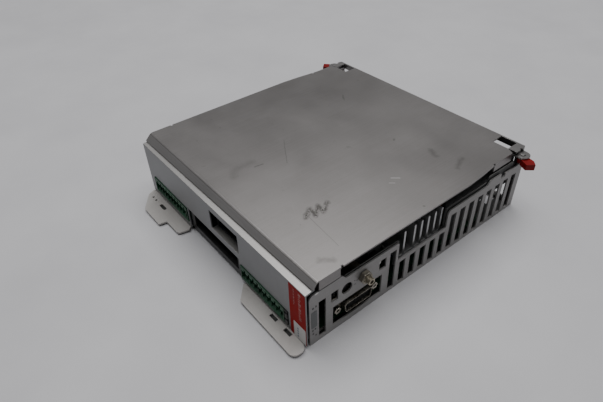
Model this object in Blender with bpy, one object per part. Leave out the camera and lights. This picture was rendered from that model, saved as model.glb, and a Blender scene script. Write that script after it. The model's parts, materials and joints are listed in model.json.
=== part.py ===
"""A cabinet servo drive lying on its side panel: a slotted sheet-metal chassis with a bent stainless
cover, a front panel with two green plug headers, and the boards, heat sink, fan and latches inside.

Drive coordinates are in millimetres: x runs along the front panel, y from the front to the back and
z up from the surface that the drive lies on. DRIVE_FRAME moves them to the middle of the base.
"""

import math

import bmesh
import bpy
from mathutils import Matrix, Vector
from mathutils.geometry import tessellate_polygon

# Driving dimensions, in millimetres.
LENGTH = 216.5
DEPTH = 212.5
HEIGHT = 58.0
SHEET = 1.2
GAP = 0.3

WALL_LEFT = 1.5
WALL_RIGHT = LENGTH - 1.5
FRONT_FACE = -8.5
WALL_FRONT = -5.3
WALL_REAR = DEPTH + 1.0
WALL_TOP = 46.9
MIDDLE_WALL_TOP = 43.0
VENT_WALL_TOP = 26.6
LOW_WALL_TOP = 41.8
REAR_WALL_TOP = 45.4
REAR_END_TOP = 43.4

SLOT_PITCH = 10.5
SLOT_WIDTH = 6.0
FIRST_SLOT = 67.2
SLOT_FLOOR = 2.6

BRACKET_LOW = 1.5
BRACKET_THICK = 1.5
PANEL_LOW = BRACKET_LOW + BRACKET_THICK + GAP
PANEL_TOP = 51.6

BOARD_THICK = 1.6
MAIN_BOARD_TOP = 6.0
CONTROL_BOARD_TOP = 26.6

DSUB_CENTRE = (35.4, 15.3)
DSUB_SCREW_SPACING = 33.32
PORT_CENTRE = (39.6, 35.0)
DIAL_CENTRE = (25.6, 32.9)
SWITCH_CENTRE = (15.2, 33.0)
BUTTON_CENTRE = (56.7, 33.0)

FIN_PITCH = 7.05
FIN_PLACES = [81.7, *(91.8 + FIN_PITCH * index for index in range(5))]
SINK_END = WALL_RIGHT - 3.5

FAN_CENTRE = (100.8, 29.0)
FAN_SIDE = 40.0
FAN_BACK = 3.5

COVER_FRONT = 1.4
LIP_RADIUS = 4.4
BEND_RELIEFS = ((1.2, 18.8, 20.5), (4.2, 173.0, 174.6))
FRONT_FLANGE = (0.6, 2.0, 18.8, 48.9)
REAR_FLANGE = (3.5, 174.6, 196.5, 51.0)

EAR_START = 207.0
EAR_SIDE = LENGTH - 2.0
NOTCH_START = 193.3
NOTCH_FRONT = 199.5
LEVER_PIVOT = (LENGTH + 0.3, 205.5)
LEVER_TOP = 53.2
LEVER_THICK = 5.0

COLOURS = {
    "steel": ((0.30, 0.29, 0.27), 0.35, 1.0),
    "zinc": ((0.42, 0.41, 0.38), 0.4, 1.0),
    "panel_grey": ((0.16, 0.165, 0.165), 0.5, 0.6),
    "black_film": ((0.02, 0.021, 0.02), 0.6, 0.0),
    "black_plastic": ((0.015, 0.015, 0.016), 0.45, 0.0),
    "board_green": ((0.02, 0.10, 0.045), 0.5, 0.0),
    "header_green": ((0.01, 0.09, 0.035), 0.45, 0.0),
    "aluminium": ((0.62, 0.62, 0.62), 0.35, 1.0),
    "nickel": ((0.48, 0.45, 0.39), 0.25, 1.0),
    "capacitor_blue": ((0.02, 0.04, 0.12), 0.4, 0.0),
    "copper": ((0.60, 0.26, 0.12), 0.35, 1.0),
    "core_yellow": ((0.55, 0.42, 0.06), 0.5, 0.0),
    "lever_red": ((0.30, 0.012, 0.012), 0.4, 0.0),
    "white_plastic": ((0.75, 0.75, 0.72), 0.5, 0.0),
    "ceramic": ((0.62, 0.60, 0.55), 0.6, 0.0),
}


# ---------------------------------------------------------------- tools


def clear_scene():
    for obj in list(bpy.data.objects):
        bpy.data.objects.remove(obj, do_unlink=True)


def material_for(name, colour_name):
    colour, roughness, metallic = COLOURS[colour_name]
    material = bpy.data.materials.new(name)
    material.use_nodes = True
    shader = material.node_tree.nodes["Principled BSDF"]
    shader.inputs["Base Color"].default_value = (*colour, 1.0)
    shader.inputs["Roughness"].default_value = roughness
    shader.inputs["Metallic"].default_value = metallic
    return material


def add_object(name, mesh, at):
    """Turns a bmesh in millimetres into an object on the drive's frame, with its origin at `at`."""
    bmesh.ops.transform(mesh, matrix=Matrix.Translation(-Vector(at)), verts=mesh.verts)
    bmesh.ops.scale(mesh, vec=(0.001, 0.001, 0.001), verts=mesh.verts)
    bmesh.ops.recalc_face_normals(mesh, faces=mesh.faces)
    data = bpy.data.meshes.new(name)
    mesh.to_mesh(data)
    mesh.free()
    obj = bpy.data.objects.new(name, data)
    bpy.context.collection.objects.link(obj)
    obj.location = Vector(at) * 0.001
    obj.parent = DRIVE_FRAME
    return obj


def solid(name, colour_name, body, add=(), cut=(), insert=(), at=(0, 0, 0), smooth=False):
    """One named part: a closed mesh, joined to `add`, then cut by `cut`, then joined to `insert`."""
    obj = add_object(name, body, at)
    obj.data.materials.append(material_for(name, colour_name))
    for use, operation, meshes in (
        ("add", "UNION", add),
        ("cut", "DIFFERENCE", cut),
        ("insert", "UNION", insert),
    ):
        for index, mesh in enumerate(meshes):
            helper = add_object(f"{name}.{use}.{index}", mesh, at)
            helper.hide_render = True
            helper.display_type = "WIRE"
            boolean = obj.modifiers.new(helper.name, "BOOLEAN")
            boolean.operation = operation
            boolean.solver = "EXACT"
            boolean.object = helper
    if smooth:
        obj.data.shade_smooth()
        obj.data.set_sharp_from_angle(angle=math.radians(35))
    return obj


def axis_point(axis, u, v, w):
    """A point whose place along `axis` is w, and whose other two coordinates are u and v in XYZ order."""
    return {"X": (w, u, v), "Y": (u, w, v), "Z": (u, v, w)}[axis]


def prism(axis, low, high, outline, holes=()):
    """A flat plate: `outline` with `holes`, drawn across `axis` and filling it from low to high."""
    mesh = bmesh.new()
    loops = [list(outline), *[list(hole) for hole in holes]]
    flat = [point for loop in loops for point in loop]
    bottom = [mesh.verts.new(axis_point(axis, u, v, low)) for u, v in flat]
    top = [mesh.verts.new(axis_point(axis, u, v, high)) for u, v in flat]
    for triangle in tessellate_polygon([[Vector((u, v, 0)) for u, v in loop] for loop in loops]):
        mesh.faces.new([bottom[i] for i in triangle])
        mesh.faces.new([top[i] for i in reversed(triangle)])
    start = 0
    for loop in loops:
        count = len(loop)
        for i in range(count):
            a, b = start + i, start + (i + 1) % count
            mesh.faces.new((bottom[a], bottom[b], top[b], top[a]))
        start += count
    return mesh


def lofted(axis, first, last):
    """A solid between two outlines with as many points each, given as (place along axis, outline)."""
    mesh = bmesh.new()
    ends = []
    for place, outline in (first, last):
        end = [mesh.verts.new(axis_point(axis, u, v, place)) for u, v in outline]
        for triangle in tessellate_polygon([[Vector((u, v, 0)) for u, v in outline]]):
            mesh.faces.new([end[i] for i in triangle])
        ends.append(end)
    count = len(ends[0])
    for i in range(count):
        j = (i + 1) % count
        mesh.faces.new((ends[0][i], ends[0][j], ends[1][j]))
        mesh.faces.new((ends[0][i], ends[1][j], ends[1][i]))
    return mesh


def rectangle(u0, v0, u1, v1):
    return [(u0, v0), (u1, v0), (u1, v1), (u0, v1)]


def circle(u, v, radius, sides=24):
    turns = [2 * math.pi * i / sides for i in range(sides)]
    return [(u + radius * math.cos(t), v + radius * math.sin(t)) for t in turns]


def hexagon(u, v, across_flats):
    return circle(u, v, across_flats / math.sqrt(3), 6)


def rounded(points, steps=4):
    """An outline whose corners, given as (u, v, radius), are rounded by arcs of `steps` chords."""
    outline = []
    for i, (u, v, radius) in enumerate(points):
        here = Vector((u, v))
        if not radius:
            outline.append((u, v))
            continue
        before = (Vector(points[i - 1][:2]) - here).normalized()
        after = (Vector(points[(i + 1) % len(points)][:2]) - here).normalized()
        half = before.angle(after) / 2
        centre = here + (before + after).normalized() * radius / math.sin(half)
        start = here + before * radius / math.tan(half) - centre
        end = here + after * radius / math.tan(half) - centre
        sweep = start.angle_signed(end)
        for step in range(steps + 1):
            turned = start.copy()
            turned.rotate(Matrix.Rotation(-sweep * step / steps, 2))
            outline.append(tuple(centre + turned))
    return outline


def rounded_rectangle(u0, v0, u1, v1, radius, steps=4):
    corners = [(u0, v0, radius), (u1, v0, radius), (u1, v1, radius), (u0, v1, radius)]
    return rounded(corners, steps)


def block(low, high):
    return prism("Z", low[2], high[2], rectangle(low[0], low[1], high[0], high[1]))


def rod(axis, centre, radius, low, high, sides=24):
    return prism(axis, low, high, circle(centre[0], centre[1], radius, sides))


def tube(axis, centre, radius, bore, low, high, sides=24):
    hole = circle(centre[0], centre[1], bore, sides)
    return prism(axis, low, high, circle(centre[0], centre[1], radius, sides), [hole])


def merged(meshes):
    """Several closed meshes that don't touch, held in one mesh, for use as one cutter."""
    whole = bmesh.new()
    for mesh in meshes:
        data = bpy.data.meshes.new("merged")
        mesh.to_mesh(data)
        mesh.free()
        whole.from_mesh(data)
        bpy.data.meshes.remove(data)
    return whole


def turned(axis, centre, profile, sides=32):
    """A turned solid: `profile` is a list of (place along axis, radius), closed at both ends."""
    mesh = bmesh.new()
    rings = []
    for place, radius in profile:
        points = circle(centre[0], centre[1], radius, sides)
        rings.append([mesh.verts.new(axis_point(axis, u, v, place)) for u, v in points])
    for lower, upper in zip(rings, rings[1:]):
        for i in range(sides):
            j = (i + 1) % sides
            mesh.faces.new((lower[i], lower[j], upper[j], upper[i]))
    mesh.faces.new(rings[0])
    mesh.faces.new(rings[-1])
    return mesh


# ---------------------------------------------------------------- chassis and covers


def slot_centre(index):
    return FIRST_SLOT + SLOT_PITCH * index


def slot(index, top, wall_low, wall_high):
    """A vertical ventilation slot through a side wall."""
    middle = slot_centre(index)
    outline = rectangle(middle - SLOT_WIDTH / 2, SLOT_FLOOR, middle + SLOT_WIDTH / 2, top)
    return prism("X", wall_low, wall_high, outline)


def wall_skyline():
    """The right wall's upper edge from front to rear, as (y, z, corner radius)."""
    return [
        (WALL_FRONT, WALL_TOP, 4.0),
        (21.5, WALL_TOP, 1.5),
        (24.5, MIDDLE_WALL_TOP, 1.5),
        (72.4, MIDDLE_WALL_TOP, 1.6),
        (72.4, VENT_WALL_TOP, 1.0),
        (123.0, VENT_WALL_TOP, 1.0),
        (123.0, LOW_WALL_TOP, 3.5),
        (167.6, LOW_WALL_TOP, 1.5),
        (170.8, REAR_WALL_TOP, 1.5),
        (184.6, REAR_WALL_TOP, 0.6),
        (184.6, 40.5, 0.6),
        (190.2, 40.5, 0.6),
        (190.2, REAR_END_TOP, 0.6),
        (WALL_REAR, REAR_END_TOP, 3.0),
    ]


def right_wall_waste():
    """Everything outside the right wall's outline, as one cutter above it."""
    skyline = rounded([(WALL_FRONT, -5.0, 0), *wall_skyline(), (WALL_REAR, 4.5, 0), (230.0, 4.5, 0)])
    edge = skyline[1:-1]
    above = [(230.0, 4.5), (230.0, 70.0), (-20.0, 70.0), (-20.0, -5.0), (WALL_FRONT, -5.0)]
    return prism("X", WALL_RIGHT - 8.0, WALL_RIGHT + 8.0, [*edge, *above])


def make_chassis():
    inner_left = WALL_LEFT + SHEET
    inner_right = WALL_RIGHT - SHEET
    section = [
        (WALL_LEFT, 0),
        (WALL_RIGHT, 0),
        (WALL_RIGHT, WALL_TOP),
        (inner_right, WALL_TOP),
        (inner_right, SHEET),
        (inner_left, SHEET),
        (inner_left, WALL_TOP),
        (WALL_LEFT, WALL_TOP),
    ]
    near, far = WALL_RIGHT - 5.0, WALL_RIGHT + 5.0
    side = [slot(0, 38.3, near, far)]
    side += [slot(index, 23.3, near, far) for index in range(1, 6)]
    side += [slot(index, 36.0, near, far) for index in range(6, 14)]
    side.append(prism("X", near, far, rectangle(2.2, 3.5, 7.9, 37.3)))
    side.append(prism("X", near, far, rectangle(12.3, 28.6, 18.1, 37.5)))
    side.append(prism("X", near, far, rectangle(54.2, 28.6, 60.6, 37.4)))
    side.append(prism("X", near, far, rectangle(13.9, 5.2, 57.6, 23.2)))
    side.append(prism("X", near, far, circle(*DIAL_CENTRE, 4.5)))
    side.append(prism("X", near, far, circle(*PORT_CENTRE, 3.0)))
    near, far = WALL_LEFT - 5.0, WALL_LEFT + 5.0
    opposite = [slot(index, 44.0, near, far) for index in range(1, 6)]
    opposite += [slot(index, 36.0, near, far) for index in range(6, 14)]
    floor = block((173.0, 197.0, -5.0), (202.0, 209.0, 5.0))
    bay = block((67.5, -20.0, -5.0), (140.8, 6.6, 5.0))
    left_rear = block((-20.0, 184.0, REAR_END_TOP), (20.0, 230.0, 70.0))
    rear_step = block((-20.0, WALL_REAR, 4.5), (60.0, 230.0, 70.0))
    front_step = block((-20.0, -20.0, SHEET), (60.0, WALL_FRONT, 70.0))
    cutters = [right_wall_waste(), merged(side), merged(opposite), floor, bay, left_rear, rear_step, front_step]
    cutters.append(block((-20.0, WALL_REAR, -5.0), (4.0, 230.0, 5.0)))
    cutters.append(block((15.0, WALL_REAR, -5.0), (LENGTH - 15.0, 230.0, 5.0)))
    cutters.append(block((LENGTH - 4.0, WALL_REAR, -5.0), (240.0, 230.0, 5.0)))
    body = prism("Y", -7.0, WALL_REAR + 3.0, section)
    solid("chassis", "steel", body, cut=cutters)


def cover_outline():
    """The cover's flat top in plan: its sides draw in towards the back, and its rear corners are cut away."""
    right = [
        (LENGTH, COVER_FRONT),
        (LENGTH, 140.0),
        (LENGTH - 1.2, 157.0),
        (LENGTH - 3.5, 178.0),
        (LENGTH - 3.5, 196.5),
        (LENGTH - 9.1, NOTCH_FRONT),
        (NOTCH_START, NOTCH_FRONT),
        (NOTCH_START, DEPTH),
    ]
    return [*right, *[(LENGTH - x, y) for x, y in reversed(right)]]


def side_flanges():
    """The two short flanges that hang from each side of the cover, as one mesh."""
    flanges = []
    for inset, y0, y1, low in (FRONT_FLANGE, REAR_FLANGE):
        for x in (inset, LENGTH - inset - SHEET):
            flanges.append(block((x, y0, low), (x + SHEET, y1, HEIGHT - 0.5)))
    return merged(flanges)


def lip_section(edge_y, edge_z):
    """The front lip's cross-section: a bend below the cover's top, and a slope down to its lower edge."""
    top, under = HEIGHT - 0.04, HEIGHT - SHEET + 0.1
    edge = Vector((edge_y, edge_z))
    down = (edge - Vector((0.0, top))).normalized()
    inner_edge = edge + Vector((-down.y, down.x)) * (SHEET - 0.1)
    inner_bend_y = inner_edge.x + down.x * (under - inner_edge.y) / down.y
    root = COVER_FRONT + 1.0
    corners = [
        (root, top, 0),
        (0.0, top, LIP_RADIUS),
        (*edge, 0),
        (*inner_edge, 0),
        (inner_bend_y, under, LIP_RADIUS - SHEET),
        (root, under, 0),
    ]
    return rounded(corners, 5)


def make_top_cover():
    """The bent cover: flat top, curved front lip, and side flanges with a small bend relief beside each."""
    lip = lofted("X", (0.3, lip_section(-5.3, 52.9)), (LENGTH - 0.3, lip_section(-3.4, 53.4)))
    top = prism("Z", HEIGHT - SHEET, HEIGHT, cover_outline())
    reliefs = [
        block((x - depth, y0, HEIGHT - 3.0), (x + depth, y1, HEIGHT + 3.0))
        for x in (0.0, LENGTH)
        for depth, y0, y1 in BEND_RELIEFS
    ]
    solid("top_cover", "steel", top, add=[lip, side_flanges()], cut=[merged(reliefs)])


def make_front_panel():
    """The front plate with its folded top strip, the bay window and the openings for the plugs."""
    outline = [
        (0.3, PANEL_LOW),
        (67.5, PANEL_LOW),
        (67.5, 23.6),
        (140.8, 23.6),
        (140.8, PANEL_LOW),
        (LENGTH - 0.9, PANEL_LOW),
        (LENGTH - 0.9, PANEL_TOP - 1.0),
        (0.3, PANEL_TOP - 1.0),
    ]
    holes = [
        rectangle(105.8, 29.2, 142.4, 46.2),
        rectangle(9.2, 8.0, 65.8, 22.6),
        rectangle(142.3, 6.0, 197.2, 19.9),
    ]
    face = prism("Y", FRONT_FACE, FRONT_FACE + SHEET, outline, holes)
    fold = [
        (FRONT_FACE, PANEL_TOP - 1.6),
        (FRONT_FACE + SHEET, PANEL_TOP - 1.6),
        (-1.0, PANEL_TOP - 0.5),
        (-1.0, PANEL_TOP + 0.7),
        (FRONT_FACE, PANEL_TOP - 0.3),
    ]
    strip = prism("X", 0.3, LENGTH - 0.9, fold)
    ledge = block((105.8, FRONT_FACE + 0.5, 28.2), (142.4, -3.2, 29.2))
    solid("front_panel", "panel_grey", face, add=[strip, ledge])


def make_rear_plate():
    """The mounting plate at the back, with a large opening at each end and an ear at each corner."""
    low, high = DEPTH - 1.5, DEPTH
    inner_left, inner_right = WALL_LEFT + SHEET + GAP, WALL_RIGHT - SHEET - GAP
    under_cover = HEIGHT - SHEET - GAP
    left_notch = LENGTH - NOTCH_START
    outline = [
        (inner_left, SHEET + GAP),
        (inner_right, SHEET + GAP),
        (inner_right, HEIGHT),
        (NOTCH_START + GAP, HEIGHT),
        (NOTCH_START + GAP, under_cover),
        (left_notch - GAP, under_cover),
        (left_notch - GAP, HEIGHT),
        (inner_left, HEIGHT),
    ]
    window = rounded_rectangle(176.0, 6.0, 208.5, 53.0, 2.0)
    other_window = [(LENGTH - x, z) for x, z in reversed(window)]
    body = prism("Y", low, high, outline, [window, other_window])
    ears = []
    cuts = []
    for mirror in (False, True):
        tab = [
            (EAR_START, NOTCH_FRONT + GAP, 0),
            (EAR_SIDE, NOTCH_FRONT + GAP, 0),
            (EAR_SIDE, DEPTH, 3.0),
            (EAR_START, DEPTH, 0),
        ]
        lobe = [
            (EAR_START, 200.0, 0),
            (LEVER_PIVOT[0] + 5.5, 200.0, 5.4),
            (LEVER_PIVOT[0] + 5.5, 211.0, 5.4),
            (212.0, 211.0, 0),
            (212.0, DEPTH, 0),
            (EAR_START, DEPTH, 0),
        ]
        for points, z0, z1 in ((tab, HEIGHT - SHEET, HEIGHT), (lobe, 53.5, 54.7)):
            plan = [(LENGTH - x, y, r) for x, y, r in reversed(points)] if mirror else points
            ears.append(prism("Z", z0, z1, rounded(plan)))
        notch_x = LENGTH - EAR_SIDE - 0.3 if mirror else EAR_SIDE + 0.3
        pin_x = LENGTH - LEVER_PIVOT[0] if mirror else LEVER_PIVOT[0]
        cuts.append(rod("Z", (notch_x, 206.6), 1.7, HEIGHT - 3.0, HEIGHT + 3.0, 16))
        cuts.append(rod("Z", (pin_x, LEVER_PIVOT[1]), 1.6 + GAP, 53.0, 55.0, 16))
    solid("rear_plate", "steel", body, add=[merged(ears)], cut=[merged(cuts)])


def make_brackets():
    """The two shield plates that stand out under the front panel, for strapping down the cables."""
    low, high = BRACKET_LOW, BRACKET_LOW + BRACKET_THICK
    left = rounded(
        [
            (3.2, 12.0, 0),
            (3.2, -6.5, 0),
            (0.8, -8.5, 0),
            (0.8, -10.5, 0),
            (3.4, -15.8, 2.0),
            (19.5, -27.4, 3.0),
            (45.8, -27.4, 1.5),
            (47.0, -20.8, 1.0),
            (66.2, -20.4, 3.0),
            (68.2, -11.0, 1.0),
            (65.2, -8.0, 0),
            (65.2, 12.0, 0),
        ]
    )
    left_holes = [
        rounded_rectangle(23.5, -15.9, 32.5, -13.0, 1.4),
        circle(9.9, -14.5, 1.0, 12),
        circle(15.3, -14.6, 1.0, 12),
    ]
    right = rounded(
        [
            (145.5, 12.0, 0),
            (145.5, -10.2, 0),
            (157.0, -20.5, 3.0),
            (216.9, -20.5, 5.0),
            (216.9, -11.0, 4.0),
            (211.0, -8.0, 0),
            (211.0, 12.0, 0),
        ]
    )
    right_holes = [
        rectangle(180.0, -12.4, 187.0, -9.7),
        rectangle(195.6, -12.4, 202.5, -9.7),
    ]
    solid("shield_bracket_left", "zinc", prism("Z", low, high, left, left_holes))
    solid("shield_bracket_right", "zinc", prism("Z", low, high, right, right_holes))


def make_bracket_pads():
    """The black strips under the shield plates, which show through their slots."""
    for side, x0, x1 in (("left", 7.0, 62.0), ("right", 160.0, 210.0)):
        outline = rounded_rectangle(x0, -18.0, x1, -8.0, 2.0)
        solid(f"bracket_pad_{side}", "black_film", prism("Z", 0.2, BRACKET_LOW - GAP, outline))


def bracket_screw_places():
    return [(14.0, 1.0), (52.0, 1.0), (158.0, 1.0), (202.0, 1.0)]


def make_edge_insulation():
    """The film strip behind the right wall: it stands a little above the wall, save beside the fins."""
    tail, side_step = 2.8, 1.5
    places = [
        (24.5, 24.5, MIDDLE_WALL_TOP, 0.4, 1.5),
        (72.4 + side_step, 72.4 - tail, MIDDLE_WALL_TOP, 0.4, 1.6),
        (72.4 + side_step, 72.4 - tail, VENT_WALL_TOP, -2.0, 1.0),
        (123.0 - side_step, 123.0 + tail, VENT_WALL_TOP, -2.0, 1.0),
        (123.0 - side_step, 123.0 + tail, LOW_WALL_TOP, 2.2, 3.5),
        (167.6, 167.6, LOW_WALL_TOP, 2.2, 1.5),
        (170.8, 170.8, REAR_WALL_TOP, 3.0, 1.5),
        (202.0, 202.0, REAR_WALL_TOP, 3.0, 0),
    ]
    edge = [(y, wall + rise, radius) for y, _, wall, rise, radius in places]
    back = [(y, min(wall, wall + rise) - tail, radius) for _, y, wall, rise, radius in places]
    x = WALL_RIGHT - SHEET - 0.5
    outline = rounded([*edge, *reversed(back)])
    solid("edge_insulation", "black_film", prism("X", x - 0.8, x, outline))


def make_screens():
    """The black insulating screens that close the board space towards the right wall."""
    top = HEIGHT - SHEET - 2 * GAP
    front = rectangle(6.0, CONTROL_BOARD_TOP + GAP, 70.0, top)
    x = WALL_RIGHT - 15.0
    solid("screen_front", "black_film", prism("X", x, x + 0.8, front))
    rear = [
        (127.0, MAIN_BOARD_TOP + GAP),
        (172.0, MAIN_BOARD_TOP + GAP),
        (172.0, 22.5),
        (209.5, 22.5),
        (209.5, 53.0),
        (198.5, 53.0),
        (198.5, top),
        (127.0, top),
    ]
    x = WALL_RIGHT - 7.0
    solid("screen_rear", "black_film", prism("X", x, x + 0.8, rear))


# ---------------------------------------------------------------- boards and power parts


def main_board_holes():
    return [(12.0, 24.0), (204.0, 66.0), (12.0, 196.0), (168.0, 196.0)]


def make_boards():
    main = [(5.0, 6.0), (211.0, 6.0), (211.0, 176.0), (174.0, 176.0), (174.0, 204.0), (5.0, 204.0)]
    holes = [circle(*place, 1.7, 16) for place in main_board_holes()]
    solid("main_board", "board_green", prism("Z", MAIN_BOARD_TOP - BOARD_THICK, MAIN_BOARD_TOP, main, holes))
    control = rectangle(8.0, 11.0, 205.5, 72.0)
    holes = [circle(*place, 1.7, 16) for place in control_post_places()]
    low = CONTROL_BOARD_TOP - BOARD_THICK
    solid("control_board", "board_green", prism("Z", low, CONTROL_BOARD_TOP, control, holes))


def control_post_places():
    return [(14.0, 62.0), (190.0, 66.0)]


def make_standoffs():
    low = SHEET + GAP
    for index, place in enumerate(main_board_holes(), 1):
        high = MAIN_BOARD_TOP - BOARD_THICK - GAP
        body = prism("Z", low, high, hexagon(*place, 5.5))
        solid(f"board_standoff_{index}", "nickel", body)
    for index, place in enumerate(control_post_places(), 1):
        low_post, high_post = MAIN_BOARD_TOP + GAP, CONTROL_BOARD_TOP - BOARD_THICK - GAP
        body = prism("Z", low_post, high_post, hexagon(*place, 5.5))
        solid(f"control_post_{index}", "nickel", body)


def make_bracket_screws():
    """Countersunk-free pan screws that hold the shield brackets to the base."""
    for index, (x, y) in enumerate(bracket_screw_places(), 1):
        low = BRACKET_LOW + BRACKET_THICK + GAP
        head = turned("Z", (x, y), [(low, 2.8), (low + 0.6, 2.8), (low + 1.3, 2.2), (low + 1.6, 1.2)], 20)
        cross = merged([block((x - 1.5, y - 0.3, low + 0.9), (x + 1.5, y + 0.3, low + 3.0))])
        solid(f"bracket_screw_{index}", "zinc", head, cut=[cross])


def make_heat_sink():
    """The finned extrusion: a flat base and six upright fins with round tips."""
    fin_half, fin_top, base_low, base_top = 0.9, 45.4, 21.4, 24.4
    outline = [(76.8, base_low), (124.0, base_low), (124.0, base_top)]
    for y in reversed(FIN_PLACES):
        tip = [(y + fin_half * math.cos(t), fin_top - fin_half + fin_half * math.sin(t))
               for t in (0, math.pi / 4, math.pi / 2, 3 * math.pi / 4, math.pi)]
        outline += [(y + fin_half, base_top), *tip, (y - fin_half, base_top)]
    outline.append((76.8, base_top))
    solid("heat_sink", "aluminium", prism("X", 24.0, SINK_END, outline))


def make_power_parts():
    floor = MAIN_BOARD_TOP + GAP
    solid("power_module", "black_plastic", block((84.0, 80.0, floor), (164.0, 120.0, 21.1)))
    for index in range(4):
        centre = (30.0 + 34.0 * index, 148.0)
        profile = [
            (floor, 14.2),
            (floor + 1.0, 15.0),
            (floor + 3.4, 15.0),
            (floor + 4.0, 14.3),
            (floor + 4.6, 15.0),
            (floor + 43.4, 15.0),
            (floor + 44.0, 14.4),
        ]
        solid(f"dc_capacitor_{index + 1}", "capacitor_blue", turned("Z", centre, profile, 28), smooth=True)
    make_choke((186.0, 148.0), floor)
    solid("transformer", "core_yellow", block((20.0, 172.0, floor), (58.0, 202.0, 38.0)))
    solid("charge_relay", "black_plastic", block((68.0, 176.0, floor), (97.0, 189.0, 22.0)))
    solid("line_fuse", "ceramic", rod("X", (197.0, 13.0), 5.0, 68.0, 100.0, 20))
    shell = block((108.0, 172.0, floor), (166.0, 186.0, 30.0))
    grooves = [block((100.0, 171.0, z), (180.0, 173.5, z + 1.6)) for z in (11.0, 15.0, 19.0, 23.0)]
    solid("brake_resistor", "aluminium", shell, cut=[merged(grooves)])


def make_choke(centre, floor):
    """A ring choke standing on the board, as one closed ring of its outer shape."""
    mesh = bmesh.new()
    ring_radius, wire_radius, around, across = 13.5, 6.0, 28, 12
    middle = Vector((centre[0], centre[1], floor + ring_radius + wire_radius + 0.5))
    rings = []
    for i in range(around):
        turn = 2 * math.pi * i / around
        out = Vector((math.cos(turn), 0, math.sin(turn)))
        ring = []
        for j in range(across):
            roll = 2 * math.pi * j / across
            reach = ring_radius + wire_radius * math.cos(roll)
            ring.append(mesh.verts.new(middle + out * reach + Vector((0, 1.1 * wire_radius * math.sin(roll), 0))))
        rings.append(ring)
    for i in range(around):
        following = rings[(i + 1) % around]
        for j in range(across):
            k = (j + 1) % across
            mesh.faces.new((rings[i][j], rings[i][k], following[k], following[j]))
    solid("filter_choke", "copper", mesh, smooth=True)


# ---------------------------------------------------------------- fan


def make_fan():
    """A 40 mm square fan behind the left wall that blows along the heat sink's fins."""
    y, z = FAN_CENTRE
    half = FAN_SIDE / 2
    front = FAN_BACK + 15.0
    square = rounded_rectangle(y - half, z - half, y + half, z + half, 3.0)
    frame = prism("X", FAN_BACK, front, square, [circle(y, z, 19.0, 40)])
    motor = rod("X", FAN_CENTRE, 9.0, front - 2.5, front, 28)
    struts = [block((front - 2.0, y - 19.6, z - 1.0), (front - 0.5, y + 19.6, z + 1.0))]
    struts.append(block((front - 2.0, y - 1.0, z - 19.6), (front - 0.5, y + 1.0, z + 19.6)))
    corners = [(y + a * 16.0, z + b * 16.0) for a in (-1, 1) for b in (-1, 1)]
    bolts = merged([rod("X", corner, 1.8, FAN_BACK - 1, front + 1, 12) for corner in corners])
    solid("fan_frame", "black_plastic", frame, add=[motor, *struts], cut=[bolts])
    hub_low, hub_high = FAN_BACK + 1.0, front - 2.5 - GAP
    hub = rod("X", FAN_CENTRE, 8.5, hub_low, hub_high, 28)
    blades = [fan_blade(index, hub_low + 0.8, hub_high - 0.6) for index in range(7)]
    solid("fan_rotor", "black_plastic", hub, add=blades, at=(FAN_BACK, y, z))


def fan_blade(index, low, high):
    """One twisted blade, from inside the hub to its tip."""
    y, z = FAN_CENTRE
    mesh = bmesh.new()
    turn = 2 * math.pi * index / 7
    inner, outer, thick = 7.5, 18.3, 0.5
    corners = []
    for radius, spread in ((inner, 0.62), (outer, 0.36)):
        for place, side in ((low, -1), (high, 1)):
            for offset in (-thick, thick):
                angle = turn + side * spread * 0.5
                u = radius * math.cos(angle) - offset * math.sin(angle)
                v = radius * math.sin(angle) + offset * math.cos(angle)
                corners.append(mesh.verts.new((place, y + u, z + v)))
    quads = ((0, 1, 3, 2), (4, 6, 7, 5), (0, 4, 5, 1), (2, 3, 7, 6), (0, 2, 6, 4), (1, 5, 7, 3))
    for quad in quads:
        mesh.faces.new([corners[i] for i in quad])
    return mesh


# ---------------------------------------------------------------- connectors


def make_header(name, x0, poles, z0, z1):
    """A green plug header: an open-fronted shroud with a row of square pins."""
    pitch = 5.08
    width = poles * pitch
    shell = block((x0, -9.3, z0), (x0 + width, 3.0, z1))
    cavity = block((x0 + 1.0, -12.0, z0 + 1.6), (x0 + width - 1.0, 1.0, z1 - 1.4))
    middle = (z0 + z1) / 2
    pins = []
    for pole in range(poles):
        x = x0 + pitch * (pole + 0.5)
        pins.append(block((x - 0.5, -6.0, middle - 0.5), (x + 0.5, 2.0, middle + 0.5)))
    solid(name, "header_green", shell, cut=[cavity], insert=[merged(pins)])


def make_header_end_block():
    """The slotted black block that closes the end of the right plug header."""
    shell = block((193.8, -9.2, 6.3), (196.9, 3.0, 19.6))
    slits = [block((190.0, -12.0, z), (200.0, -7.6, z + 1.4)) for z in (10.3, 16.9)]
    solid("header_end_block", "black_plastic", shell, cut=[merged(slits)])


def make_bay_socket():
    """The recessed socket behind the front window."""
    shell = block((104.6, -2.9, 27.8), (143.6, 9.0, 47.6))
    recess = block((106.4, -10.0, 29.8), (141.8, 6.5, 45.6))
    contact = block((112.0, 1.5, 36.0), (136.0, 7.5, 38.2))
    solid("bay_socket", "black_plastic", shell, cut=[recess], insert=[contact])


def make_motor_socket():
    """The recessed power socket in the middle of the front's lower edge, with its contact blades."""
    shell = block((72.0, 1.0, MAIN_BOARD_TOP + GAP), (138.0, 16.0, 22.6))
    skirt = block((68.5, -6.9, 3.6), (139.8, 5.6, 23.0))
    recess = block((74.0, -10.0, 8.4), (136.0, 12.0, 20.6))
    count, pitch = 6, 10.16
    first = 105.0 - pitch * (count - 1) / 2
    places = [first + pitch * i for i in range(count)]
    blades = merged([block((x - 0.6, 6.0, 12.0), (x + 0.6, 13.0, 17.0)) for x in places])
    solid("motor_socket", "black_plastic", shell, add=[skirt], cut=[recess], insert=[blades])


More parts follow.
